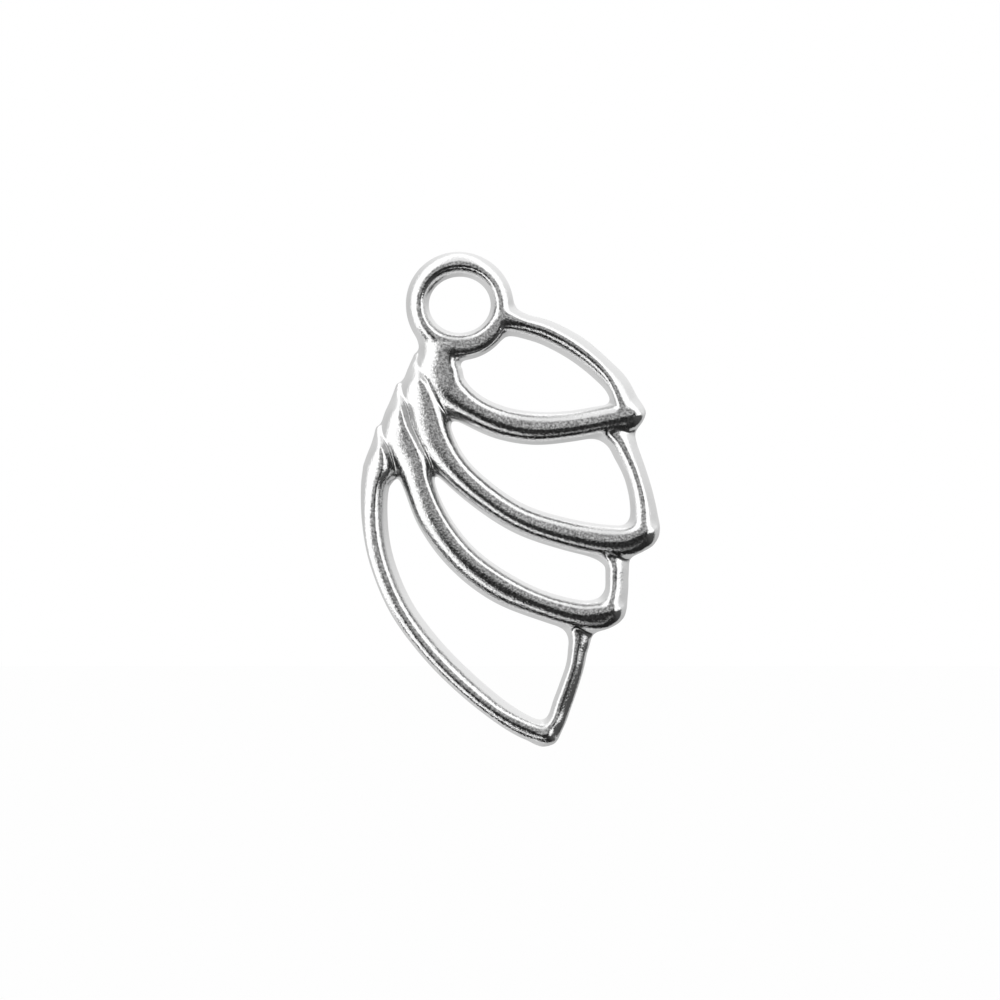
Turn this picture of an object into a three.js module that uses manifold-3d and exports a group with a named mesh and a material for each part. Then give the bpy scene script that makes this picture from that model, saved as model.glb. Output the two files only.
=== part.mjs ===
import * as THREE from "three";
import { mergeVertices } from "three/addons/utils/BufferGeometryUtils.js";
import Module from "manifold-3d";

// An angel wing charm in cast silver: a round hanging eye over four layered, pierced feathers.
// Millimetres. The charm hangs upright: +Z is up, the domed front faces -Y, the flat back faces +Y,
// and the origin is the centre of the eye.
//
// Every member is a bar that is flat behind and domed in front. A route says where a bar runs, in
// rows of three shares: x as a share of the wing's reach, z of its length, and the bar's width there
// of its own width. Where two bars meet, the later one is cut back to fit the earlier one, with a
// fine seam between them.

const wingReach = 5.98; // from the eye's centre across to the middle of the second tip
const wingLength = 13.95; // from the eye's centre down to the middle of the fourth tip
const backPlane = 0.5; // y of the flat back that all members share
const seam = 0.02; // clearance left between two members that meet
const widestShare = 0.4; // how far up from the back a bar is at its widest, as a share of its height
const flatShare = 0.55; // how much of a bar's width is flat at the back
const domeSteps = 8; // facets across the domed front
const cornerSteps = 2; // facets round each back corner
const capSteps = 3; // rings that close a rounded end
const ringSpacing = 0.4; // distance between two sections along a bar

// Hanging eye
const eyeHoleWidth = 2.0;
const eyeHoleHeight = 1.82;
const eyeWallSide = 0.74;
const eyeWallTop = 0.8;
const eyeWallFoot = 0.88;
const eyeWallDifference = 0.04; // how much thicker the wall is on its upper left than on its upper right
const eyeHeight = 0.98;
const eyeSections = 40;
const ribSeatAngle = 245; // where the first rib springs from the eye, in degrees from +X towards +Z
const edgeSeatAngle = 342; // where the first top edge springs from the eye

// Widths of the bars, and their heights from the flat back to the crown
const topEdgeWidth = 0.83;
const topEdgeHeight = 0.95;
const rib1Width = 1.05;
const rib1Height = 1.1;
const edge2Width = 0.8;
const edge2Height = 0.9;
const rib2Width = 1.0;
const rib2Height = 1.05;
const edge3Width = 0.76;
const edge3Height = 0.86;
const rib3Width = 1.01;
const rib3Height = 1.02;
const edge4Width = 0.58;
const edge4Height = 0.74;
const spineWidth = 0.79;
const spineHeight = 0.92;

// The feathers' tips, where a rib and a tip edge meet, as shares of the reach and the length
const tip1Shares = [0.93, -0.258];
const tip2Shares = [1, -0.531];
const tip3Shares = [0.823, -0.711];
const tip4Shares = [0.467, -1];

// Where the next feather springs from the rib above it, as a share of that rib's length
const edge2SeatShare = 0.86;
const edge3SeatShare = 0.88;
const edge4SeatShare = 0.9;
const rib2SeatShare = 0.03;
const rib3SeatShare = 0.1;
const spineSeatShare = 0.1;

// How wide a bar starts at its seat, as a share of its own width
const rib1RootShare = 1.35;
const topEdgeRootShare = 1.2;
const edge2RootShare = 1.15;
const edge3RootShare = 1.2;
const edge4RootShare = 1.7;
const layeredRootShare = 0.5; // ribs 2 and 3 and the spine, which come out from under the rib before

const rib1RouteShares = [
  [-0.11, -0.123, 1.3],
  [-0.079, -0.152, 1.04],
  [-0.028, -0.196, 0.99],
  [0.06, -0.242, 1.04],
  [0.222, -0.273, 1.02],
  [0.4, -0.286, 1.02],
  [0.579, -0.282, 0.95],
  [0.758, -0.27, 0.92],
  [...tip1Shares, 0.86],
];

const topEdgeRouteShares = [
  [0.351, -0.049, 0.96],
  [0.465, -0.064, 1.0],
  [0.627, -0.1, 1.01],
  [0.769, -0.15, 0.95],
  [0.853, -0.188, 0.97],
  [...tip1Shares, 1.08],
];

const edge2RouteShares = [
  [0.865, -0.309, 1.18],
  [0.9, -0.341, 1.07],
  [0.948, -0.391, 0.96],
  [0.982, -0.442, 1.0],
  [0.998, -0.495, 1.12],
  [...tip2Shares, 1.14],
];

const rib2RouteShares = [
  [-0.227, -0.161, 0.98],
  [-0.207, -0.2, 1.16],
  [-0.157, -0.253, 1.14],
  [-0.12, -0.305, 1.0],
  [-0.037, -0.377, 1.05],
  [0.134, -0.444, 0.97],
  [0.326, -0.496, 0.97],
  [0.547, -0.528, 1.02],
  [0.771, -0.548, 1.08],
  [0.893, -0.548, 1.06],
  [...tip2Shares, 0.94],
];

const edge3RouteShares = [
  [0.846, -0.596, 1.05],
  [0.851, -0.633, 1.0],
  [0.848, -0.665, 1.01],
  [...tip3Shares, 1.14],
];

const rib3RouteShares = [
  [-0.328, -0.23, 0.92],
  [-0.334, -0.272, 1.04],
  [-0.296, -0.318, 1.04],
  [-0.244, -0.364, 1.13],
  [-0.226, -0.411, 1.02],
  [-0.142, -0.499, 1.02],
  [0.012, -0.586, 1.02],
  [0.216, -0.653, 1.04],
  [0.448, -0.697, 0.94],
  [0.664, -0.721, 1.0],
  [0.753, -0.719, 1.0],
  [...tip3Shares, 0.86],
];

const edge4RouteShares = [
  [0.647, -0.776, 1.24],
  [0.637, -0.802, 1.09],
  [0.624, -0.836, 1.02],
  [0.587, -0.885, 1.05],
  [0.557, -0.921, 1.07],
  [0.518, -0.966, 1.06],
  [...tip4Shares, 1.14],
];

const spineRouteShares = [
  [-0.43, -0.31, 0.8],
  [-0.428, -0.351, 1.26],
  [-0.431, -0.38, 1.42],
  [-0.457, -0.418, 1.18],
  [-0.458, -0.5, 1.06],
  [-0.423, -0.589, 1.01],
  [-0.321, -0.697, 1.0],
  [-0.164, -0.791, 1.0],
  [0.023, -0.873, 1.0],
  [0.232, -0.946, 0.95],
  [0.353, -0.978, 0.94],
  [...tip4Shares, 0.88],
];

const wasm = await Module();
wasm.setup();

function solidFrom(geometry) {
  const merged = mergeVertices(geometry);
  return new wasm.Manifold(
    new wasm.Mesh({
      numProp: 3,
      vertProperties: merged.attributes.position.array,
      triVerts: new Uint32Array(merged.index.array),
    }),
  );
}

function geometryFrom(solid) {
  const mesh = solid.getMesh();
  const geometry = new THREE.BufferGeometry();
  geometry.setAttribute("position", new THREE.BufferAttribute(mesh.vertProperties, 3));
  geometry.setIndex(new THREE.BufferAttribute(mesh.triVerts, 1));
  return geometry;
}

// The outline of a bar's section, going once round: how far to the side, as a share of the half
// width, and how far towards the front from the widest level, as a share of the height.
function sectionShape() {
  const outline = [];
  for (let i = 0; i <= domeSteps; i += 1) {
    const angle = (Math.PI * i) / domeSteps;
    outline.push([Math.cos(angle), Math.sin(angle) * (1 - widestShare)]);
  }
  const corner = (side, angle) => [
    side * (flatShare + (1 - flatShare) * Math.cos(angle)),
    -Math.sin(angle) * widestShare,
  ];
  for (let i = 1; i <= cornerSteps; i += 1) {
    outline.push(corner(-1, (Math.PI / 2) * (i / cornerSteps)));
  }
  for (let i = cornerSteps; i >= 1; i -= 1) {
    outline.push(corner(1, (Math.PI / 2) * (i / cornerSteps)));
  }
  return outline;
}

const section = sectionShape();

// One section of a bar, set at x, z across the direction in which the bar runs there.
function placeSection({ x, z, direction, width, height, size }) {
  const across = new THREE.Vector2(direction.y, -direction.x);
  const widestLevel = backPlane - height * widestShare;
  return section.map(([side, forward]) => {
    const reach = side * (width / 2) * size;
    return new THREE.Vector3(
      x + across.x * reach,
      widestLevel - forward * height * size,
      z + across.y * reach,
    );
  });
}

// A closed skin through the sections. An open row of sections is closed at each end by a fan.
function skin(sections, { loop }) {
  const count = section.length;
  const positions = sections.flat().flatMap((point) => point.toArray());
  const faces = [];
  const last = loop ? sections.length : sections.length - 1;
  for (let i = 0; i < last; i += 1) {
    const here = i * count;
    const next = ((i + 1) % sections.length) * count;
    for (let k = 0; k < count; k += 1) {
      const m = (k + 1) % count;
      faces.push(here + k, next + k, next + m);
      faces.push(here + k, next + m, here + m);
    }
  }
  if (!loop) {
    const end = (sections.length - 1) * count;
    for (let k = 1; k < count - 1; k += 1) {
      faces.push(0, k, k + 1);
      faces.push(end, end + k + 1, end + k);
    }
  }
  const geometry = new THREE.BufferGeometry();
  geometry.setAttribute("position", new THREE.Float32BufferAttribute(positions, 3));
  geometry.setIndex(faces);
  return geometry;
}

// The route of a bar as a curve in millimetres whose y holds the width, from the seat outwards.
function routeCurve(seat, route, width) {
  const rows = [seat, ...route.map(([x, z, share]) => [x * wingReach, z * wingLength, share])];
  return new THREE.CatmullRomCurve3(
    rows.map(([x, z, share]) => new THREE.Vector3(x, share * width, z)),
    false,
    "centripetal",
  );
}

// A bar along its curve, rounded at the far end. "grow" makes it larger all round, to cut a seat.
function bar({ curve, height }, grow = 0) {
  const steps = Math.ceil(curve.getLength() / ringSpacing);
  const sections = [];
  const add = (point, direction, along, size) =>
    sections.push(
      placeSection({
        x: point.x + direction.x * along,
        z: point.z + direction.y * along,
        direction,
        width: point.y + 2 * grow,
        height: height + 2 * grow,
        size,
      }),
    );
  let point;
  let direction;
  for (let i = 0; i <= steps; i += 1) {
    point = curve.getPointAt(i / steps);
    const tangent = curve.getTangentAt(i / steps);
    direction = new THREE.Vector2(tangent.x, tangent.z).normalize();
    add(point, direction, 0, 1);
  }
  for (let i = 1; i <= capSteps; i += 1) {
    const angle = (Math.PI / 2) * (i / (capSteps + 0.5));
    add(point, direction, (point.y / 2 + grow) * Math.sin(angle), Math.cos(angle));
  }
  return solidFrom(skin(sections, { loop: false }));
}

// The edge of the eye's hole at an angle, and the way out from it square to the edge.
function eyeHoleEdge(angle) {
  const point = new THREE.Vector2(
    (eyeHoleWidth / 2) * Math.cos(angle),
    (eyeHoleHeight / 2) * Math.sin(angle),
  );
  const outward = new THREE.Vector2(
    (eyeHoleHeight / 2) * Math.cos(angle),
    (eyeHoleWidth / 2) * Math.sin(angle),
  ).normalize();
  return { point, outward };
}

function eyeWall(angle) {
  const upper = Math.sin(angle) > 0;
  const even = THREE.MathUtils.lerp(eyeWallSide, upper ? eyeWallTop : eyeWallFoot, Math.sin(angle) ** 2);
  return upper ? even - (eyeWallDifference / 2) * Math.sin(2 * angle) : even;
}

// The eye: the same section swept round the oval hole, in a wall that is thickest at the foot.
function eyeRing(grow = 0) {
  const sections = [];
  for (let i = 0; i < eyeSections; i += 1) {
    const angle = (2 * Math.PI * i) / eyeSections;
    const { point, outward } = eyeHoleEdge(angle);
    const wall = eyeWall(angle);
    sections.push(
      placeSection({
        x: point.x + outward.x * (wall / 2),
        z: point.y + outward.y * (wall / 2),
        direction: new THREE.Vector2(-outward.y, outward.x),
        width: wall + 2 * grow,
        height: eyeHeight + 2 * grow,
        size: 1,
      }),
    );
  }
  return solidFrom(skin(sections, { loop: true }));
}

// The place in the middle of the eye's wall at an angle, where a bar is seated.
function eyeSeat(degrees, share) {
  const angle = THREE.MathUtils.degToRad(degrees);
  const { point, outward } = eyeHoleEdge(angle);
  const middle = point.addScaledVector(outward, eyeWall(angle) / 2);
  return [middle.x, middle.y, share];
}

// The place on another bar's curve, where the next bar is seated.
function barSeat({ curve }, along, share) {
  const point = curve.getPointAt(along);
  return [point.x, point.z, share];
}

// A bar cut back to the members that it is seated on. What the cut leaves beyond them is dropped.
function seated(shape, neighbours) {
  const cut = neighbours.reduce((rest, other) => rest.subtract(other), shape);
  const pieces = cut.decompose();
  return pieces.reduce((best, piece) => (piece.volume() > best.volume() ? piece : best));
}

// A bar's curve and its height, from its seat and its route.
function member(seat, route, width, height) {
  return { curve: routeCurve(seat, route, width), height };
}

const rib1 = member(eyeSeat(ribSeatAngle, rib1RootShare), rib1RouteShares, rib1Width, rib1Height);
const topEdge = member(
  eyeSeat(edgeSeatAngle, topEdgeRootShare),
  topEdgeRouteShares,
  topEdgeWidth,
  topEdgeHeight,
);
const edge2 = member(
  barSeat(rib1, edge2SeatShare, edge2RootShare),
  edge2RouteShares,
  edge2Width,
  edge2Height,
);
const rib2 = member(
  barSeat(rib1, rib2SeatShare, layeredRootShare),
  rib2RouteShares,
  rib2Width,
  rib2Height,
);
const edge3 = member(
  barSeat(rib2, edge3SeatShare, edge3RootShare),
  edge3RouteShares,
  edge3Width,
  edge3Height,
);
const rib3 = member(
  barSeat(rib2, rib3SeatShare, layeredRootShare),
  rib3RouteShares,
  rib3Width,
  rib3Height,
);
const edge4 = member(
  barSeat(rib3, edge4SeatShare, edge4RootShare),
  edge4RouteShares,
  edge4Width,
  edge4Height,
);
const spine = member(
  barSeat(rib3, spineSeatShare, layeredRootShare),
  spineRouteShares,
  spineWidth,
  spineHeight,
);

const silver = new THREE.MeshStandardMaterial({
  name: "polished_silver",
  color: "#cdced0",
  roughness: 0.16,
  metalness: 1,
});

const charm = new THREE.Group();

function cast(name, solid) {
  const mesh = new THREE.Mesh(geometryFrom(solid), silver.clone());
  mesh.name = name;
  charm.add(mesh);
}

const eyeCutter = eyeRing(seam);
const rib1Cutter = bar(rib1, seam);
const rib2Cutter = bar(rib2, seam);
const rib3Cutter = bar(rib3, seam);
const spineCutter = bar(spine, seam);

cast("hanging_eye", eyeRing());
cast("feather_1_rib", seated(bar(rib1), [eyeCutter]));
cast("feather_1_top_edge", seated(bar(topEdge), [eyeCutter, rib1Cutter]));
cast("feather_2_rib", seated(bar(rib2), [rib1Cutter, eyeCutter]));
cast("feather_2_tip_edge", seated(bar(edge2), [rib1Cutter, rib2Cutter]));
cast("feather_3_rib", seated(bar(rib3), [rib2Cutter, rib1Cutter]));
cast("feather_3_tip_edge", seated(bar(edge3), [rib2Cutter, rib3Cutter]));
cast("feather_4_spine", seated(bar(spine), [rib3Cutter, rib2Cutter]));
cast("feather_4_tip_edge", seated(bar(edge4), [rib3Cutter, spineCutter]));

export default charm;
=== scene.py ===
# %% [markdown]
# # An angel wing charm in cast silver
#
# The charm is 16 mm tall: a round hanging eye, and below it one wing of four pierced feathers. The real
# one is a single casting, so its members flow into each other with small fillets, and the polish rounds
# every edge. Here each member is a piece of its own, but all of them are cut from one common skin, so the
# metal runs on from piece to piece as it does on a casting.

import bpy
import numpy as np
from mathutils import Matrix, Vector


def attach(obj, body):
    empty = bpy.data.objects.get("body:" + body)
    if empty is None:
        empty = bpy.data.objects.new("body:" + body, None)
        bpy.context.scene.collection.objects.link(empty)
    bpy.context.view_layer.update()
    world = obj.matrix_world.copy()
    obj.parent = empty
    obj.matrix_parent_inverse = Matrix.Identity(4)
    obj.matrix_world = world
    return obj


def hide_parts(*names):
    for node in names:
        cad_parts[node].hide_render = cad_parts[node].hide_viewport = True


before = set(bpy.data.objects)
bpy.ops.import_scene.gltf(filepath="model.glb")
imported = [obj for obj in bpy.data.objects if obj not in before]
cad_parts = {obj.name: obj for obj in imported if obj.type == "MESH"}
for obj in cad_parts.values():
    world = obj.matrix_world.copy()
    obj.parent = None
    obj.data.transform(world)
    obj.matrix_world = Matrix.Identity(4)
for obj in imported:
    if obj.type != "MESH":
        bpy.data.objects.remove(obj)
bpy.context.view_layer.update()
print("nodes of the measured model:", sorted(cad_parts))

# %% [markdown]
# ## Where the members run
#
# Each member is a bar that is flat behind and domed in front. On the drawing board it is a line with a
# width, so that is how it is written here: rows of x, z and the width in millimetres, with the eye's
# centre as zero, and last the crown, the share of the width that lies left of the highest line for
# someone who walks along the bar. A tip is named once, because a rib and a tip edge meet there.

# %% The back and the tips
back_plane = 0.5
tip_1, tip_2, tip_3, tip_4 = (5.53, -3.57), (5.95, -7.37), (4.89, -9.88), (2.77, -13.91)
print("tips:", tip_1, tip_2, tip_3, tip_4)

# %% The first feather
rib_1 = [
    (-0.61, -1.27, 1.4, 0.4),
    (-0.66, -1.72, 1.37, 0.42),
    (-0.69, -2.12, 1.52, 0.34),
    (-0.46, -2.74, 1.45, 0.38),
    (0.36, -3.37, 1.09, 0.44),
    (1.33, -3.81, 1.07, 0.47),
    (2.39, -3.99, 1.07, 0.52),
    (3.46, -3.94, 1.0, 0.52),
    (4.53, -3.76, 0.97, 0.53),
    (*tip_1, 0.9, 0.5),
]
top_edge_1 = [
    (1.31, -0.42, 1.0, 0.38),
    (2.1, -0.69, 0.8, 0.38),
    (2.78, -0.89, 0.83, 0.4),
    (3.75, -1.4, 0.84, 0.44),
    (4.6, -2.09, 0.79, 0.47),
    (5.1, -2.62, 0.81, 0.66),
    (*tip_1, 0.9, 0.72),
]
print("first feather:", len(rib_1), "rows for the rib,", len(top_edge_1), "for the top edge")

# %% The second feather
rib_2 = [
    (-1.4, -1.6, 0.2, 0.5),
    (-1.36, -2.24, 0.84, 0.5),
    (-1.28, -2.79, 1.32, 0.39),
    (-1.1, -3.53, 1.46, 0.36),
    (-0.88, -4.26, 1.32, 0.34),
    (-0.22, -5.26, 1.05, 0.41),
    (0.8, -6.19, 0.97, 0.46),
    (1.95, -6.92, 0.97, 0.48),
    (3.27, -7.37, 1.02, 0.5),
    (4.61, -7.64, 1.08, 0.49),
    (5.34, -7.65, 1.06, 0.46),
    (*tip_2, 0.94, 0.5),
]
tip_edge_2 = [
    (4.56, -3.75, 0.92, 0.56),
    (5.17, -4.31, 0.94, 0.56),
    (5.38, -4.76, 0.86, 0.5),
    (5.67, -5.45, 0.77, 0.49),
    (5.87, -6.17, 0.8, 0.49),
    (5.97, -6.91, 0.9, 0.52),
    (*tip_2, 0.91, 0.5),
]
print("second feather:", len(rib_2), "rows for the rib,", len(tip_edge_2), "for the tip edge")

# %% The third feather
rib_3 = [
    (-1.98, -2.55, 0.2, 0.5),
    (-1.96, -3.21, 0.7, 0.45),
    (-2.0, -3.8, 1.05, 0.36),
    (-1.9, -4.44, 1.3, 0.26),
    (-1.52, -5.08, 1.27, 0.39),
    (-1.35, -5.73, 1.03, 0.36),
    (-0.85, -6.96, 1.03, 0.35),
    (0.07, -8.18, 1.03, 0.37),
    (1.29, -9.11, 1.05, 0.36),
    (2.68, -9.73, 0.95, 0.4),
    (3.97, -10.06, 1.01, 0.43),
    (4.5, -10.03, 1.01, 0.41),
    (*tip_3, 0.87, 0.5),
]
tip_edge_3 = [
    (4.6, -7.64, 0.91, 0.64),
    (5.06, -8.31, 0.8, 0.64),
    (5.09, -8.83, 0.76, 0.64),
    (5.07, -9.28, 0.77, 0.65),
    (*tip_3, 0.87, 0.5),
]
print("third feather:", len(rib_3), "rows for the rib,", len(tip_edge_3), "for the tip edge")

# %% The fourth feather
spine = [
    (-2.63, -3.95, 0.2, 0.5),
    (-2.6, -4.33, 0.46, 0.5),
    (-2.56, -4.9, 0.95, 0.47),
    (-2.58, -5.3, 1.12, 0.48),
    (-2.73, -5.83, 0.93, 0.49),
    (-2.74, -6.98, 0.84, 0.57),
    (-2.53, -8.22, 0.8, 0.56),
    (-1.92, -9.72, 0.79, 0.57),
    (-0.98, -11.03, 0.79, 0.61),
    (0.14, -12.18, 0.79, 0.61),
    (1.39, -13.2, 0.75, 0.56),
    (2.11, -13.64, 0.74, 0.5),
    (*tip_4, 0.7, 0.5),
]
tip_edge_4 = [
    (3.85, -10.04, 0.99, 0.6),
    (3.87, -10.83, 0.72, 0.62),
    (3.81, -11.19, 0.63, 0.62),
    (3.73, -11.66, 0.59, 0.62),
    (3.51, -12.35, 0.61, 0.62),
    (3.33, -12.85, 0.62, 0.62),
    (3.1, -13.48, 0.61, 0.6),
    (*tip_4, 0.66, 0.6),
]
print("fourth feather:", len(spine), "rows for the spine,", len(tip_edge_4), "for the tip edge")

# %% [markdown]
# ## A smooth line through the rows
#
# A Catmull-Rom spline passes through every row, and its centripetal form makes no loops where rows lie
# close together. Width and crown are just further coordinates, so they run through the rows as smoothly
# as the line itself does.


# %% The spline
def smooth_line(rows, steps=12):
    """Points on a centripetal Catmull-Rom spline through the rows, with steps points from row to row."""
    rows = np.array(rows, float)
    rows = np.vstack([2 * rows[0] - rows[1], rows, 2 * rows[-1] - rows[-2]])
    points = []
    for before, start, end, after in zip(rows, rows[1:], rows[2:], rows[3:]):
        gaps = [np.sqrt(np.linalg.norm(b - a)) for a, b in ((before, start), (start, end), (end, after))]
        turn_start = (start - before) / gaps[0] - (end - before) / (gaps[0] + gaps[1])
        turn_end = (after - end) / gaps[2] - (after - start) / (gaps[1] + gaps[2])
        leave = turn_start * gaps[1] + (end - start)
        arrive = turn_end * gaps[1] + (end - start)
        for t in np.arange(steps) / steps:
            points.append(
                (2 * t**3 - 3 * t**2 + 1) * start
                + (t**3 - 2 * t**2 + t) * leave
                + (3 * t**2 - 2 * t**3) * end
                + (t**3 - t**2) * arrive
            )
    return np.array([*points, rows[-2]])


print("the first rib as a smooth line:", len(smooth_line(rib_1)), "points")

# %% [markdown]
# ## Sections
#
# Cut across, a bar has two flanks that fall from the crown to the sides. A flank is told by two numbers.
# The first is its curve: 2 is a quarter of an ellipse, less makes a sharper crest, more a flatter crown
# with a steeper side. The second is the share of the height where the fall ends, and under it the side
# stands upright. Height and flanks are given for the root, the middle and the tip of a bar. The height
# turns from the root's into the middle's over the first of the millimetres in rise, and into the tip's
# over the last of them, and the flanks do the same over the millimetres in fade.


# %% Values along a bar
def smooth_step(value, low, high):
    t = np.clip((value - low) / (high - low), 0, 1)
    return t * t * (3 - 2 * t)


def along_bar(way, values, fade):
    root, middle, tip = values
    value = root + (middle - root) * smooth_step(way, 0, fade[0])
    return value + (tip - value) * smooth_step(way, way[-1] - fade[1], way[-1])


def bar(rows, height, left, right, rise=(1.3, 1.0), fade=(1.3, 1.0)):
    """A line in nine columns: x, z, width, crown and height, then for the left and the right flank its
    curve and the share of the height where it ends."""
    line = smooth_line(rows)
    steps = np.hypot(*np.diff(line[:, :2], axis=0).T)
    way = np.concatenate([[0], np.cumsum(steps)])
    columns = [line, along_bar(way, height, rise)]
    for flank in (left, right):
        for values in zip(*flank):
            columns.append(along_bar(way, values, fade))
    return np.column_stack(columns)


# %% [markdown]
# The eye is a bar as well, one that goes round an oval hole, with the hole on its left. Its wall is
# thickest at the foot, and at the upper left a little thicker than at the upper right, which is the lean.
# The crest lies nearer to the hole, but at the foot, where the eye stands on the first feather, it moves
# outward, rises and grows flatter. The gains are what the top and the foot add, and the reaches say how
# far round they do it, as the cosine of the angle from there.

# %% The eye's wall
eye_hole = (2.0, 1.82)
eye_wall_side, eye_wall_top, eye_wall_foot = 0.74, 0.8, 0.88
eye_wall_lean = 0.04
eye_foot_angle = np.radians(293)
foot_reach, top_reach = (0.55, 0.95), (0.2, 1)
eye_crown, crown_gain_top, crown_gain_foot = 0.42, 0.05, 0.15
eye_height, height_gain_foot = 0.98, 0.06
eye_curve, curve_gain_foot = 1.5, 1.5
eye_fall_end = 0.4


def eye_line(steps=96):
    """The same nine columns for the eye's wall, going once round the oval hole."""
    angle = np.linspace(0, 2 * np.pi, steps + 1)
    half = np.array(eye_hole) / 2
    edge = np.column_stack([half[0] * np.cos(angle), half[1] * np.sin(angle)])
    outward = np.column_stack([half[1] * np.cos(angle), half[0] * np.sin(angle)])
    outward /= np.linalg.norm(outward, axis=1, keepdims=True)
    upper = np.sin(angle) > 0
    thickest = np.where(upper, eye_wall_top, eye_wall_foot)
    wall = eye_wall_side + (thickest - eye_wall_side) * np.sin(angle) ** 2
    wall -= upper * eye_wall_lean / 2 * np.sin(2 * angle)
    toward_foot = smooth_step(np.cos(angle - eye_foot_angle), *foot_reach)
    toward_top = smooth_step(np.sin(angle), *top_reach)
    crown = eye_crown + crown_gain_top * toward_top + crown_gain_foot * toward_foot
    height = eye_height + height_gain_foot * toward_foot
    curve = eye_curve + curve_gain_foot * toward_foot
    end = np.full_like(angle, eye_fall_end)
    return np.column_stack([edge + outward * wall[:, None] / 2, wall, crown, height, curve, end, curve, end])


print("eye:", eye_hole, "mm hole,", len(eye_line()), "points round its wall")

# %% [markdown]
# A polished flank is seen only by what it mirrors, so the flanks were chosen one by one: each one is as
# steep, as long and as round as the bands of white, grey and black on the real charm ask for.

# %% The flanks
flat_flank = (3.0, 0.3)
round_flank = (2.0, 0.4)
full_flank = (1.9, 0.3)
dark_flank = (1.75, 0.45)
long_flank = (1.7, 0.3)
slope_flank = (1.6, 0.15)
wide_flank = (1.55, 0.05)
tip_flank = (1.4, 0.62)
low_flank = (1.35, 0.7)
slant_flank = (1.35, 0.5)
outer_flank = (1.35, 0.05)
ridge_flank = (1.3, 0.2)
print("sharpest crest:", ridge_flank, "flattest crown:", flat_flank)

# %% [markdown]
# Where a member joins other metal, a fillet fills the corner. It is told by two sizes in millimetres: near
# the back, and in front, along the crease. The creases between the ribs are the sharpest.

# %% The fillets
eye_fillets = (0.3, 0.15)
rib_1_fillets = (0.2, 0.12)
top_edge_fillets = (0.25, 0.12)
edge_fillets = (0.3, 0.12)
crease_fillets = (0.3, 0.06)
print("fillet along a crease:", crease_fillets[1], "mm")

# %% Sections of the eye and the first feather
members = {
    "hanging_eye": (eye_line(), eye_fillets),
    "feather_1_rib": (
        bar(
            rib_1,
            height=(1.06, 1.08, 0.96),
            left=(flat_flank, round_flank, round_flank),
            right=(slope_flank, dark_flank, tip_flank),
            rise=(2.6, 0.9),
            fade=(2.6, 1.2),
        ),
        rib_1_fillets,
    ),
    "feather_1_top_edge": (
        bar(
            top_edge_1,
            height=(1.0, 0.98, 0.96),
            left=(full_flank, wide_flank, wide_flank),
            right=(flat_flank, long_flank, round_flank),
            rise=(0.9, 0.9),
            fade=(0.9, 1.6),
        ),
        top_edge_fillets,
    ),
}

# %% [markdown]
# The other ribs and the spine start as low, sharp wedges on the feather above, so their roots are low and
# their outer flanks long.

# %% Sections of the second feather
members["feather_2_rib"] = (
    bar(
        rib_2,
        height=(0.25, 1.05, 1.05),
        left=(ridge_flank, round_flank, round_flank),
        right=(outer_flank, dark_flank, tip_flank),
        rise=(1.0, 1.5),
        fade=(4.2, 1.2),
    ),
    crease_fillets,
)
members["feather_2_tip_edge"] = (
    bar(
        tip_edge_2,
        height=(0.85, 0.9, 1.03),
        left=[wide_flank] * 3,
        right=(long_flank, long_flank, round_flank),
    ),
    edge_fillets,
)

# %% Sections of the third feather
members["feather_3_rib"] = (
    bar(
        rib_3,
        height=(0.25, 1.02, 1.02),
        left=(ridge_flank, round_flank, round_flank),
        right=(outer_flank, dark_flank, tip_flank),
        rise=(1.0, 1.5),
        fade=(4.6, 1.2),
    ),
    crease_fillets,
)
members["feather_3_tip_edge"] = (
    bar(
        tip_edge_3,
        height=(0.82, 0.86, 1.0),
        left=[wide_flank] * 3,
        right=(full_flank, full_flank, round_flank),
    ),
    edge_fillets,
)

# %% Sections of the fourth feather
members["feather_4_spine"] = (
    bar(
        spine,
        height=(0.3, 0.92, 0.9),
        left=(ridge_flank, wide_flank, round_flank),
        right=(outer_flank, low_flank, tip_flank),
        rise=(0.8, 2.0),
        fade=(4.2, 2.0),
    ),
    crease_fillets,
)
members["feather_4_tip_edge"] = (
    bar(
        tip_edge_4,
        height=(0.74, 0.74, 0.88),
        left=[slant_flank] * 3,
        right=(full_flank, full_flank, round_flank),
    ),
    edge_fillets,
)
print("members:", list(members))

# %% [markdown]
# The valley between two ribs doesn't run down to the back. Up to where the opening begins, a level web
# about two thirds as high as the ribs closes it, and the metal of the web belongs to the lower rib.

# %% The webs
level_flank = (4.0, 0.3)
web_height = (0.66, 0.7, 0.7)
web_rise = (0.3, 0.3)
web_flanks = [level_flank] * 3
web_fillets = (0.08, 0.08)
webs = {
    "feather_2_rib": [(-0.96, -2.66, 0.2, 0.5), (-0.72, -3.05, 0.5, 0.5), (-0.5, -3.34, 0.7, 0.5)],
    "feather_3_rib": [(-1.25, -4.54, 0.15, 0.5), (-1.07, -4.88, 0.35, 0.5), (-0.93, -5.15, 0.5, 0.5)],
}
print("webs:", len(webs))

# %% [markdown]
# ## The metal as a distance field
#
# A distance field is a block of numbers: at each point of a fine grid, how far it is to the surface, less
# than zero inside the metal. Bars are hard to join with fillets as meshes, but easy as fields, because a
# smooth minimum of two fields is their union with a fillet. The grid's step is about one and a half
# pixels of the picture.

# %% The grid
grid_step = 0.045
grid_low = np.array([-3.45, -0.75, -14.55])
grid_high = np.array([6.7, 0.7, 1.95])
grid_count = np.ceil((grid_high - grid_low) / grid_step).astype(int) + 1
across_x, across_y, across_z = (grid_low[i] + grid_step * np.arange(grid_count[i]) for i in range(3))
print("grid:", grid_count, "points", int(np.prod(grid_count)))


# %% Where a point lies beside a line
def heading(run):
    return run / np.hypot(*run)


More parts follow.
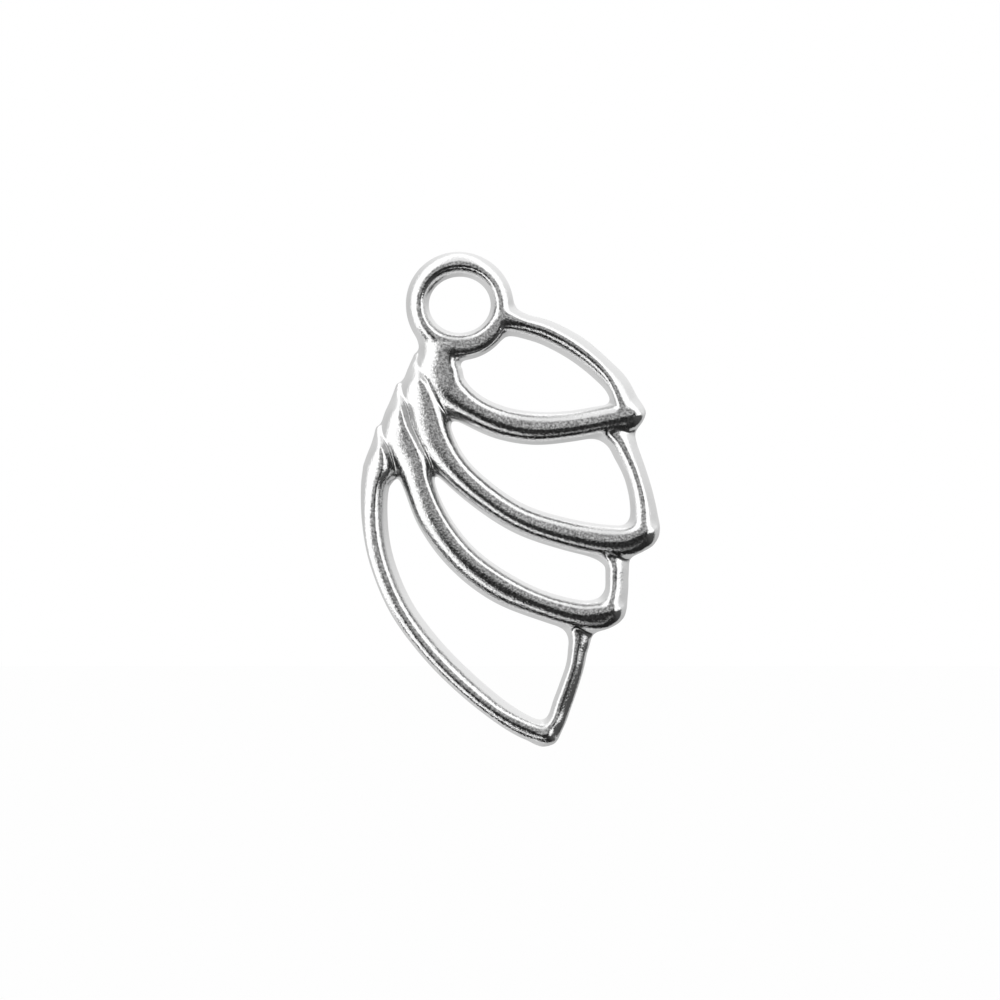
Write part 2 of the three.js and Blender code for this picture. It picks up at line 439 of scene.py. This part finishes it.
def beside_line(line, x, z):
    """For points x, z: how far they lie to the left of the line, the way along it, its other columns
    there, and how far they lie before the line's start and past its end."""
    nearest = np.full(x.shape, np.inf)
    side, way = np.zeros(x.shape), np.zeros(x.shape)
    columns = np.zeros((line.shape[1] - 2, *x.shape))
    travelled = 0.0
    for start, end in zip(line, line[1:]):
        run = end[:2] - start[:2]
        length = np.hypot(*run)
        px, pz = x - start[0], z - start[1]
        share = np.clip((px * run[0] + pz * run[1]) / length**2, 0, 1)
        gap = np.hypot(px - share * run[0], pz - share * run[1])
        closer = gap < nearest
        left = np.sign(run[0] * pz - run[1] * px)
        nearest[closer] = gap[closer]
        side[closer] = (gap * left)[closer]
        way[closer] = (travelled + share * length)[closer]
        for column, low, high in zip(columns, start[2:], end[2:]):
            column[closer] = (low + share * (high - low))[closer]
        travelled += length
    first = heading(line[1, :2] - line[0, :2])
    last = heading(line[-1, :2] - line[-2, :2])
    before = -((x - line[0, 0]) * first[0] + (z - line[0, 1]) * first[1])
    past = (x - line[-1, 0]) * last[0] + (z - line[-1, 1]) * last[1]
    past = np.where(way < travelled, 0, np.maximum(past, 0))
    side = np.where(past > 0, last[0] * (z - line[-1, 1]) - last[1] * (x - line[-1, 0]), side)
    return side, way, columns, before, past


# %% [markdown]
# A member's field is worked out only as far round its line as reach says, and far is the value for
# anywhere off the metal. The root of a bar is cut off square, which only its first stretch, the cut
# length, can feel, and past its tip a bar is rounded off. The fillet turns from the one at the back into
# the one in front between the two front depths. The field is divided by its own slope, which makes
# millimetres of it, and the slope is kept above a least one, so nothing is divided by zero.

# %% Fields of single members
reach = 1.3
far = 0.5
cut_length = 0.65
front_depth = (0.3, 0.65)
least_slope = 0.4


def smooth_min(a, b, fillet):
    share = np.clip(0.5 + 0.5 * (b - a) / fillet, 0, 1)
    return b + (a - b) * share - fillet * share * (1 - share)


def member_field(line, fillets, is_loop=False):
    """The member's field and its fillets, in a window of the grid round it."""
    low, high = line[:, :2].min(0) - reach, line[:, :2].max(0) + reach
    window_x = (across_x > low[0]) & (across_x < high[0])
    window_z = (across_z > low[1]) & (across_z < high[1])
    x, z = np.meshgrid(across_x[window_x], across_z[window_z], indexing="ij")
    side, way, columns, before, past = beside_line(line, x, z)
    if is_loop:
        past[:] = 0
    width, crown, height, left_curve, left_end, right_curve, right_end = columns
    side -= (0.5 - crown) * width
    is_left = side > 0
    half = np.where(is_left, crown, 1 - crown) * width
    curve = np.where(is_left, left_curve, right_curve)
    fall_end = np.where(is_left, left_end, right_end) * height
    over = np.abs(side) / half
    over_end = past / (width / 2)
    outline = over**curve + over_end**curve
    outline_slope = curve * np.hypot(over ** (curve - 1) / half, over_end ** (curve - 1) * 2 / width)
    depth = (back_plane - across_y)[None, :, None]
    rise = (height - fall_end)[:, None, :]
    up = np.maximum(depth - fall_end[:, None, :], 0) / rise
    level = outline[:, None, :] + up**2 - 1
    slope = np.sqrt(outline_slope[:, None, :] ** 2 + (2 * up / rise) ** 2)
    field = level / np.maximum(slope, least_slope)
    if not is_loop:
        field = np.maximum(field, np.where(way < cut_length, before, -far)[:, None, :])
    back_fillet, front_fillet = fillets
    fillet = back_fillet + (front_fillet - back_fillet) * smooth_step(depth, *front_depth)
    return np.ix_(window_x, np.ones(len(across_y), bool), window_z), field.astype(np.float32), fillet


# %% [markdown]
# The members are laid into the grid one after the other. The grid also notes which member each point lies
# nearest to, and a later member takes a point over only if it is nearer by the joint's bias, so a joint
# doesn't flicker between two members that lie equally near. At the end the back is cut flat with a
# rounded corner, and a light blur takes the last sharpness off the edges, as tumbling does.

# %% All members as one metal
joint_bias = 0.03
back_corner = 0.22
metal = np.full(grid_count, far, np.float32)
nearest_field = np.full(grid_count, far, np.float32)
owner = np.zeros(grid_count, np.int8)


def add_metal(name, window, field, fillet):
    metal[window] = smooth_min(metal[window], np.minimum(field, far), fillet)
    closer = field < nearest_field[window] - joint_bias
    nearest_field[window] = np.where(closer, field, nearest_field[window])
    owner[window] = np.where(closer, list(members).index(name), owner[window])


for name, member in members.items():
    add_metal(name, *member_field(*member, is_loop=name == "hanging_eye"))
for name, rows in webs.items():
    line = bar(rows, height=web_height, left=web_flanks, right=web_flanks, rise=web_rise)
    add_metal(name, *member_field(line, web_fillets))

behind = (across_y - back_plane)[None, :, None]
metal = -smooth_min(-metal, -behind, back_corner).astype(np.float32)
for axis in range(3):
    metal = (np.roll(metal, 1, axis) + 2 * metal + np.roll(metal, -1, axis)) / 4
print("metal:", round(float((metal < 0).sum()) * grid_step**3, 2), "cubic millimetres")

# %% [markdown]
# ## From numbers to a skin
#
# Surface nets: every grid cell that the surface passes through gets one vertex, and every grid edge that
# it crosses gets one quad. The vertices then slide along the field's slope until they lie exactly on the
# surface, and the same slope gives each vertex its normal. On polished metal the normals matter more than
# the faces, because a reflection shows every wobble in them.


# %% Read a grid between its points
def read_grid(values, points):
    place = (points - grid_low) / grid_step
    base = np.clip(np.floor(place).astype(int), 0, grid_count - 2)
    share = place - base
    total = 0
    for corner in np.ndindex(2, 2, 2):
        weight = np.prod(np.where(corner, share, 1 - share), axis=1)
        i, j, k = (base + corner).T
        total = total + weight.reshape(-1, *([1] * (values.ndim - 3))) * values[i, j, k]
    return total


# %% Surface nets
inside = metal < 0
corners = [
    inside[i : grid_count[0] - 1 + i, j : grid_count[1] - 1 + j, k : grid_count[2] - 1 + k]
    for i, j, k in np.ndindex(2, 2, 2)
]
held = np.sum(corners, axis=0)
crossed = (held > 0) & (held < 8)
cell_number = np.full(crossed.shape, -1)
cell_number[crossed] = np.arange(crossed.sum())
vertices = grid_low + (np.argwhere(crossed) + 0.5) * grid_step

quads = []
for axis in range(3):
    one, two = (axis + 1) % 3, (axis + 2) % 3
    lower, upper = np.moveaxis(inside, axis, 0)[:-1], np.moveaxis(inside, axis, 0)[1:]
    change = np.moveaxis(lower != upper, 0, axis)
    starts_inside = np.moveaxis(lower, 0, axis)
    points = np.argwhere(change)
    forward = starts_inside[tuple(points.T)]
    ring = []
    for step_one, step_two in ((-1, -1), (0, -1), (0, 0), (-1, 0)):
        cell = points.copy()
        cell[:, one] += step_one
        cell[:, two] += step_two
        ring.append(cell_number[tuple(cell.T)])
    ring = np.column_stack(ring)
    ring[~forward] = ring[~forward, ::-1]
    quads.append(ring)
quads = np.vstack(quads)
print("skin:", len(vertices), "vertices,", len(quads), "quads")

# %% Slide the vertices onto the surface
least_square = 0.2
slope_grid = np.stack(np.gradient(metal, grid_step), axis=-1).astype(np.float32)


def onto_surface(points, times=3):
    for _ in range(times):
        slope = read_grid(slope_grid, points)
        way = read_grid(metal, points) / np.maximum((slope**2).sum(1), least_square)
        points = points - slope * np.clip(way, -grid_step, grid_step)[:, None]
    return points


def evened(points):
    """Each vertex moved halfway to the middle of its neighbours."""
    total, count = np.zeros_like(points), np.zeros(len(points))
    for a, b in ((0, 1), (1, 2), (2, 3), (3, 0)):
        np.add.at(total, quads[:, a], points[quads[:, b]])
        np.add.at(total, quads[:, b], points[quads[:, a]])
        np.add.at(count, quads[:, a], 1)
        np.add.at(count, quads[:, b], 1)
    return 0.5 * points + 0.5 * total / count[:, None]


evening_rounds = 3
vertices = onto_surface(vertices)
for _ in range(evening_rounds):
    vertices = onto_surface(evened(vertices), times=2)
normals = read_grid(slope_grid, vertices)
normals /= np.linalg.norm(normals, axis=1, keepdims=True)
print("skin box:", vertices.min(0).round(3), vertices.max(0).round(3))

# %% [markdown]
# ## One skin, nine members
#
# Each face goes to the member that it lies nearest to. Where two members meet, both get the same rim of
# vertices and normals, so no joint shows, just as on the casting. A face across each open rim, out of
# sight inside the metal, closes every member into a solid of its own.

# %% Share the skin out
middle = vertices[quads].mean(1)
cell = np.rint((middle - grid_low) / grid_step).astype(int)
quad_owner = owner[tuple(cell.T)]
print("quads for each member:", np.bincount(quad_owner).tolist())

# %% [markdown]
# A few faces beside a joint can be nearest to one member and still be cut off from it by another. Each
# such face takes the owner that most of its neighbours have, and after a few rounds every member is one
# patch of skin.

# %% Settle the joints
settling_rounds = 12
for _ in range(settling_rounds):
    votes = np.zeros((len(vertices), len(members)))
    for corner in range(4):
        np.add.at(votes, (quads[:, corner], quad_owner), 1)
    quad_owner = votes[quads].sum(1).argmax(1)
print("after settling:", np.bincount(quad_owner).tolist())


# %% Build the pieces
millimetre = 0.001


def open_rims(faces):
    """The closed rows of vertices along which the faces have no neighbour, each in the order that a face
    in the gap would have."""
    edges = {(a, b) for face in faces for a, b in zip(face, (*face[1:], face[0]))}
    following = {}
    for a, b in edges:
        if (b, a) not in edges:
            following.setdefault(b, []).append(a)
    rims = []
    while following:
        start = next(iter(following))
        rim, here = [], start
        while here in following:
            rim.append(here)
            ways = following[here]
            step = ways.pop()
            if not ways:
                del following[here]
            here = step
        rims.append(rim)
    return rims


def build_piece(name, number):
    faces = [tuple(int(i) for i in face) for face in quads[quad_owner == number]]
    rims = open_rims(faces)
    used = sorted({i for face in faces for i in face})
    local = {vertex: place for place, vertex in enumerate(used)}
    points = [vertices[i] for i in used]
    mesh_faces = [[local[i] for i in face] for face in faces]
    for rim in rims:
        points.append(vertices[rim].mean(0))
        hub = len(points) - 1
        for a, b in zip(rim, (*rim[1:], rim[0])):
            mesh_faces.append([local[a], local[b], hub])
    mesh = bpy.data.meshes.new(name)
    mesh.from_pydata([Vector(point) * millimetre for point in points], [], mesh_faces)
    mesh.update()
    corner_normals = []
    for polygon in mesh.polygons:
        polygon.use_smooth = True
        for index in polygon.vertices:
            on_skin = polygon.index < len(faces)
            corner_normals.append(tuple(normals[used[index]]) if on_skin else tuple(polygon.normal))
    mesh.normals_split_custom_set(corner_normals)
    piece = bpy.data.objects.new(name, mesh)
    bpy.context.scene.collection.objects.link(piece)
    print(name, len(mesh.polygons), "faces, rims:", [len(rim) for rim in rims])
    return piece


pieces = {name: build_piece("cast_" + name, number) for number, name in enumerate(members)}

# %% [markdown]
# ## The silver
#
# Sterling silver, cast and then tumbled with steel shot. Tumbling gives a bright, nearly mirror-like
# skin, but it doesn't level the fine grain of the casting, so the reflections are sharp at their edges
# and speckled inside. The grain of such a casting is about 0.05 mm. That is too fine to show in a picture
# of the whole charm, so it is drawn 0.075 mm wide. It does three things: a bump bends the reflections, the
# polish varies with it, and on the crowns, which face the front, it speckles the colour between dark pits
# and white. These dark pits are partly the grain and partly painted shade: only the front-facing side of
# each bar gets them, so that side is painted darker. The mask for the crowns goes by the skin's own
# normal, not by the camera, so it stays put in other views.


# %% Helpers for colours and nodes
def linear(code):
    """The linear colour of an sRGB hex code."""
    parts = [int(code[i : i + 2], 16) / 255 for i in (1, 3, 5)]
    return (*(part / 12.92 if part <= 0.04045 else ((part + 0.055) / 1.055) ** 2.4 for part in parts), 1)


def add_node(tree, kind, inputs=None, **settings):
    """Adds a node. An input is either a value or the output that is linked to it."""
    node = tree.nodes.new(kind)
    for name, value in settings.items():
        setattr(node, name, value)
    for socket, value in (inputs or {}).items():
        if isinstance(value, bpy.types.NodeSocket):
            tree.links.new(value, node.inputs[socket])
        else:
            node.inputs[socket].default_value = value
    return node


# %% Cast and tumbled sterling silver
grain_size = 0.075
grain_height = 0.009
smoothest, roughest = 0.05, 0.12
# crown shade: painted shade, a darker pit colour in the grain, only where the skin faces the front
crown_shade_begins, crown_shade_full = -0.86, -0.93
bright_metal, pit_and_painted_shade = linear("#efefef"), linear("#7e7e7e")

silver = bpy.data.materials.new("sterling_silver_cast_tumbled")
silver.use_nodes = True
tree = silver.node_tree
tree.nodes.clear()
coordinates = add_node(tree, "ShaderNodeTexCoord").outputs
grain = add_node(
    tree,
    "ShaderNodeTexNoise",
    {
        "Vector": coordinates["Object"],
        "Scale": 1 / (grain_size * millimetre),
        "Detail": 2.0,
        "Roughness": 0.7,
    },
).outputs["Fac"]
grain_bump = add_node(
    tree, "ShaderNodeBump", {"Height": grain, "Strength": 1.0, "Distance": grain_height * millimetre}
)
polish = add_node(
    tree,
    "ShaderNodeMapRange",
    {"Value": grain, "From Min": 0.3, "From Max": 0.7, "To Min": smoothest, "To Max": roughest},
)
# the crown mask: painted shade that darkens the front-facing side of each bar, mixed with the grain
faces_front = add_node(tree, "ShaderNodeSeparateXYZ", {"Vector": coordinates["Normal"]}).outputs["Y"]
crown = add_node(
    tree,
    "ShaderNodeMapRange",
    {"Value": faces_front, "From Min": crown_shade_begins, "From Max": crown_shade_full, "To Min": 0.0, "To Max": 1.0},
)
speckle = add_node(
    tree,
    "ShaderNodeMapRange",
    {"Value": grain, "From Min": 0.3, "From Max": 0.68, "To Min": 0.0, "To Max": 1.0},
)
speckled = add_node(
    tree,
    "ShaderNodeMix",
    {"Factor": speckle.outputs["Result"], "A": pit_and_painted_shade, "B": linear("#ffffff")},
    data_type="RGBA",
)
colour = add_node(
    tree,
    "ShaderNodeMix",
    {"Factor": crown.outputs["Result"], "A": bright_metal, "B": speckled.outputs["Result"]},
    data_type="RGBA",
)
shader = add_node(
    tree,
    "ShaderNodeBsdfPrincipled",
    {
        "Base Color": colour.outputs["Result"],
        "Metallic": 1.0,
        "Roughness": polish.outputs["Result"],
        "Normal": grain_bump.outputs["Normal"],
    },
)
add_node(tree, "ShaderNodeOutputMaterial", {"Surface": shader.outputs["BSDF"]})

for name, piece in pieces.items():
    piece.data.materials.append(silver)
    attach(piece, "root")
    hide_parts(name)
print("material:", silver.name, "on", len(pieces), "pieces")

# %% [markdown]
# ## The light tent
#
# Small silver is photographed in a tent of white cloth. The metal mirrors the tent, and the picture's
# grey and black bands are what isn't white in it: the opening that the camera looks through, the dark
# room seen through its lower part, and the table behind the charm. The world is that tent. A direction is
# told by its angle from the line to the camera and by the hour of a clock face that the camera looks at.
# Each edge in the tent is a row of twelve angles in degrees, from 12 o'clock, which is up, round to 11,
# and where a tone changes round the clock, it is a row of twelve tones as well.

# %% Directions in the tent
world = bpy.data.worlds.new("light_tent")
bpy.context.scene.world = world
world.use_nodes = True
tree = world.node_tree
tree.nodes.clear()
direction = add_node(tree, "ShaderNodeTexCoord").outputs["Generated"]
parts = add_node(tree, "ShaderNodeSeparateXYZ", {"Vector": direction}).outputs


def calculate(operation, *values):
    return add_node(tree, "ShaderNodeMath", dict(enumerate(values)), operation=operation).outputs["Value"]


to_camera = calculate("MULTIPLY", parts["Y"], -1.0)
from_camera = calculate("MULTIPLY", calculate("ARCCOSINE", to_camera), 180 / np.pi)
turn = calculate("DIVIDE", calculate("ARCTAN2", parts["X"], parts["Z"]), 2 * np.pi)
clock = calculate("FRACT", calculate("ADD", turn, 1.0))


def by_hour(values, largest=1.0):
    """The value at the direction's hour, out of twelve values up to the largest one."""
    node = add_node(tree, "ShaderNodeValToRGB", {"Fac": clock})
    stops = node.color_ramp.elements
    while len(stops) < len(values) + 1:
        stops.new(0.5)
    for hour, stop in enumerate(stops):
        stop.position = hour / len(values)
        share = values[hour % len(values)] / largest
        stop.color = (share, share, share, 1)
    return calculate("MULTIPLY", node.outputs["Color"], largest)


def beyond(edge, soft=2.5):
    """1 in directions further from the camera than the edge, 0 in nearer ones, soft for some degrees."""
    past = calculate("SUBTRACT", from_camera, by_hour(edge, largest=180))
    step = add_node(
        tree,
        "ShaderNodeMapRange",
        {"Value": past, "From Min": -soft, "From Max": soft},
        interpolation_type="SMOOTHSTEP",
    )
    return step.outputs["Result"]


def between(inner, outer):
    return calculate("MULTIPLY", inner, calculate("SUBTRACT", 1.0, outer))


def laid_over(below, tone, mask):
    mixed = add_node(tree, "ShaderNodeMix", {"Factor": mask, "A": below, "B": tone}, data_type="FLOAT")
    return mixed.outputs["Result"]


# %% [markdown]
# The tent is painted in layers, each over the one before: the cloth round the opening, the dark room in
# the opening's lower part, a strip of shaded cloth at the top, the black gap between the cloth and the
# table, and the table. A layer that runs from a start to an end drops out at the hours where its end
# isn't beyond its start.

# %% The tent's cloth, opening and table
nowhere = 180
opening_edge = (64, 56, 51, 50, 54, 58, 59, 50, 44, 41, 42, 52)
dark_start = (95, 80, 45, 26, 10, 5, 3, 8, 24, 60, 90, 95)
dark_end = (0, 0, 44, 46, 56, 60, 59, 50, 43, 0, 0, 0)
shade_start = (64, 60, 60, 90, 90, 90, 90, 90, 90, 90, 90, 60)
shade_end = (98, 60, 60, 90, 90, 90, 90, 90, 90, 90, 90, 60)
black_start = (nowhere, nowhere, nowhere, 98, 9, 60, 62, 63, 76, nowhere, nowhere, nowhere)
black_end = (0, 0, 0, 92, 138, 124, 92, 86, 87, 0, 0, 0)
black = (0.1, 0.1, 0.1, 0.1, 0.07, 0.02, 0.01, 0.01, 0.01, 0.01, 0.01, 0.1)
table_edge = (128, 100, 92, 92, 138, 124, 97, 90, 92, 96, 97, 104)
table_tone = (0.95, 0.93, 0.88, 0.62, 0.5, 0.5, 0.55, 0.66, 0.68, 0.62, 0.7, 0.85)
cloth, opening, dark, shade = 1.27, 0.48, 0.035, 0.9

tone = laid_over(opening, cloth, beyond(opening_edge))
tone = laid_over(tone, dark, between(beyond(dark_start, soft=6), beyond(dark_end)))
tone = laid_over(tone, shade, between(beyond(shade_start), beyond(shade_end)))
tone = laid_over(tone, by_hour(black), between(beyond(black_start), beyond(black_end)))
tone = laid_over(tone, by_hour(table_tone), beyond(table_edge))
seen = add_node(tree, "ShaderNodeLightPath").outputs["Is Camera Ray"]
white_backdrop = 1.0
strength = laid_over(tone, white_backdrop, seen)
tent = add_node(tree, "ShaderNodeBackground", {"Color": linear("#ffffff"), "Strength": strength})
add_node(tree, "ShaderNodeOutputWorld", {"Surface": tent.outputs["Background"]})
print("world:", world.name, "with", len(tree.nodes), "nodes")

# %% [markdown]
# ## Floor and camera
#
# The charm hangs over a pale floor of matt paper. To the camera the paper mostly glows, so that it is
# nearly as white as the backdrop, and the rest of it still takes the light and the shadow. The metal
# mirrors the tent's table in place of the floor. From here on the sizes are in metres.

# %% The floor
glow_share = 0.92
floor_level = -0.026
floor_half = 0.6
mesh = bpy.data.meshes.new("floor")
mesh.from_pydata(
    [(x * floor_half, y * floor_half, floor_level) for x, y in ((-1, -1), (1, -1), (1, 1), (-1, 1))],
    [],
    [(0, 1, 2, 3)],
)
floor = bpy.data.objects.new("floor", mesh)
bpy.context.scene.collection.objects.link(floor)
paper = bpy.data.materials.new("matt_white_paper")
paper.use_nodes = True
tree = paper.node_tree
tree.nodes.clear()
matt = add_node(tree, "ShaderNodeBsdfDiffuse", {"Color": linear("#f4f4f4")})
glow = add_node(tree, "ShaderNodeEmission", {"Color": linear("#ffffff"), "Strength": 1.0})
seen = add_node(tree, "ShaderNodeLightPath").outputs["Is Camera Ray"]
share = add_node(tree, "ShaderNodeMath", {0: seen, 1: glow_share}, operation="MULTIPLY").outputs["Value"]
mixed = add_node(
    tree, "ShaderNodeMixShader", {0: share, 1: matt.outputs["BSDF"], 2: glow.outputs["Emission"]}
)
add_node(tree, "ShaderNodeOutputMaterial", {"Surface": mixed.outputs["Shader"]})
floor.data.materials.append(paper)
floor.visible_glossy = False
print("floor:", 2 * floor_half, "m wide,", -floor_level, "m below the eye")

# %% [markdown]
# The camera stands level with the wing and straight in front of it, far enough away that the view is
# nearly flat, as with a long macro lens. Its distance follows from the width of the picture at the charm.

# %% The camera
picture_width = 0.0323
picture_middle = (0.0013, -0.00631)
lens = 250
sensor = 36
camera_data = bpy.data.cameras.new("camera")
camera_data.lens = lens
camera_data.sensor_width = sensor
camera = bpy.data.objects.new("camera", camera_data)
camera.location = (picture_middle[0], -picture_width * lens / sensor, picture_middle[1])
camera.rotation_euler = (np.pi / 2, 0, 0)
bpy.context.scene.collection.objects.link(camera)
bpy.context.scene.camera = camera
bpy.context.scene.view_settings.view_transform = "Standard"
print("camera:", round(-camera.location.y, 3), "m in front of the charm")
